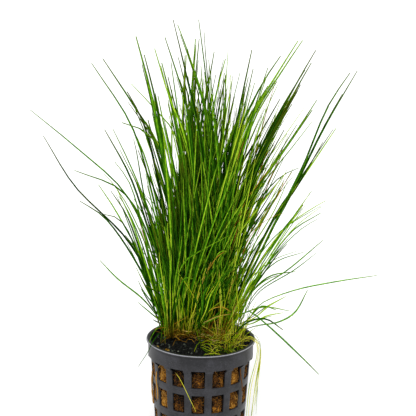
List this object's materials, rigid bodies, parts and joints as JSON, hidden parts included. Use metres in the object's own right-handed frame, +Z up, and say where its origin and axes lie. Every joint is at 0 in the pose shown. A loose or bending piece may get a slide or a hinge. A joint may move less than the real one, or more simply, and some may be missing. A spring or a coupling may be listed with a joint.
{
  "type": "potted dwarf hairgrass",
  "caption": "Dwarf hairgrass in a slotted nursery pot: a tuft of thin tapering stems rooted in dark granules over a fibrous wool plug, standing on a flat base.",
  "frame": {"origin": "middle of the pot's base, on the surface that it stands on", "axes": "+Z up along the pot's axis, -Y towards the viewer of the picture, +X to that viewer's right"},
  "size_m": [0.1611, 0.1361, 0.2057],
  "materials": {
    "pot": "satin",
    "rock_wool": "matte",
    "granules": "matte",
    "green_stems": "satin",
    "young_stems": "satin"
  },
  "bodies": {
    "root": {"granule_bed": "granules", "plantlet_arch_back_left": "green_stems", "plantlet_arch_back_middle": "green_stems", "plantlet_arch_back_right": "green_stems", "plantlet_arch_front_left": "green_stems", "plantlet_arch_front_right": "green_stems", "plantlet_back_inner_left": "green_stems", "plantlet_back_left": "green_stems", "plantlet_back_low_right": "green_stems", "plantlet_back_middle": "green_stems", "plantlet_back_right": "green_stems", "plantlet_back_upper_right": "green_stems", "plantlet_down_right": "young_stems", "plantlet_far_left": "green_stems", "plantlet_far_upper_right": "green_stems", "plantlet_front_arc": "green_stems", "plantlet_front_left": "green_stems", "plantlet_front_middle": "green_stems", "plantlet_front_right": "green_stems", "plantlet_hanging_right": "young_stems", "plantlet_heart_left": "green_stems", "plantlet_heart_right": "green_stems", "plantlet_hind_left": "green_stems", "plantlet_hind_right": "green_stems", "plantlet_inner_left": "green_stems", "plantlet_inner_middle": "green_stems", "plantlet_long_wavy": "young_stems", "plantlet_low_left": "green_stems", "plantlet_low_right": "green_stems", "plantlet_middle_fork": "green_stems", "plantlet_middle_right": "green_stems", "plantlet_outer_right": "green_stems", "plantlet_rear_left": "green_stems", "plantlet_rear_middle": "green_stems", "plantlet_rear_right": "green_stems", "plantlet_rim_left": "young_stems", "plantlet_side_right": "green_stems", "plantlet_stray_left": "green_stems", "plantlet_tall_inner_left": "green_stems", "plantlet_tall_left": "green_stems", "plantlet_tall_middle": "green_stems", "plantlet_thick_bundle": "green_stems", "plantlet_upper_left": "green_stems", "plantlet_upper_right": "green_stems", "plantlet_young_back": "young_stems", "plantlet_young_front": "young_stems", "plantlet_young_inner": "young_stems", "plantlet_young_middle": "young_stems", "pot": "pot", "slot_stem": "young_stems", "wool_plug": "rock_wool"}
  },
  "joints": []
}
